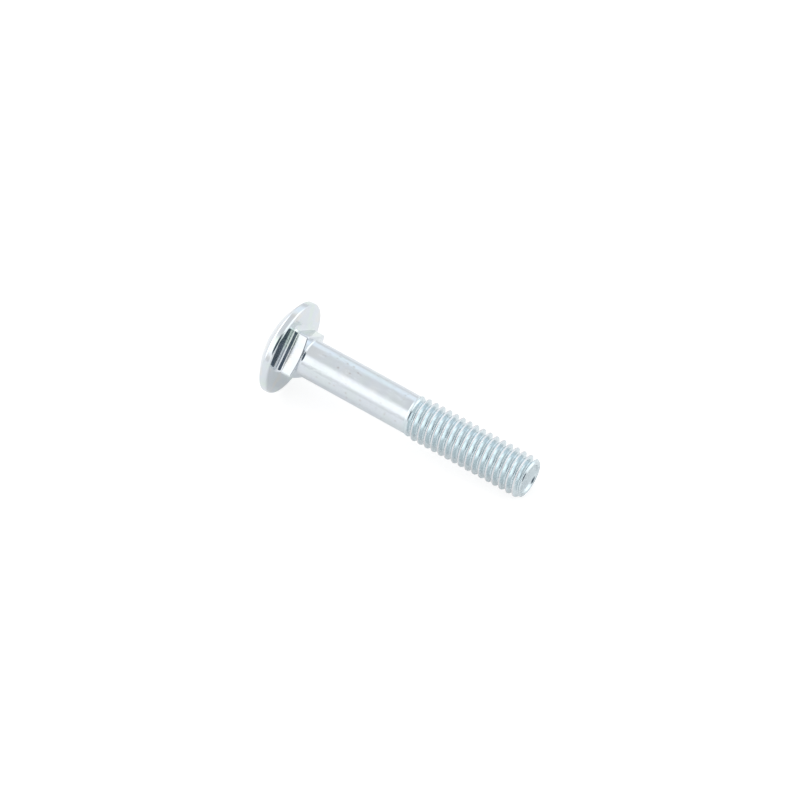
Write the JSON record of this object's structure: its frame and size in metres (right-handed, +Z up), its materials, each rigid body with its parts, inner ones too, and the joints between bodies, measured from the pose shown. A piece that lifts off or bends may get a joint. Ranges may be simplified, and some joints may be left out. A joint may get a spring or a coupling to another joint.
{
  "type": "carriage bolt",
  "caption": "Zinc-plated carriage bolt: a domed round head, a square neck that keeps it from turning, a plain shank and a right-hand thread for a nut.",
  "frame": {"origin": "on the floor, under the middle of the lying bolt's box", "axes": "+X along the shank towards the threaded end, whose axis leans 5.7 degrees down; +Z up; the bolt lies on its head's rim and on the last whole crest of its thread"},
  "size_m": [0.054, 0.0178, 0.0178],
  "materials": {
    "zinc_plating": "bright zinc plating with a clear blue passivated film, over cold-forged steel"
  },
  "bodies": {
    "root": {"bolt": "zinc_plating"}
  },
  "joints": []
}
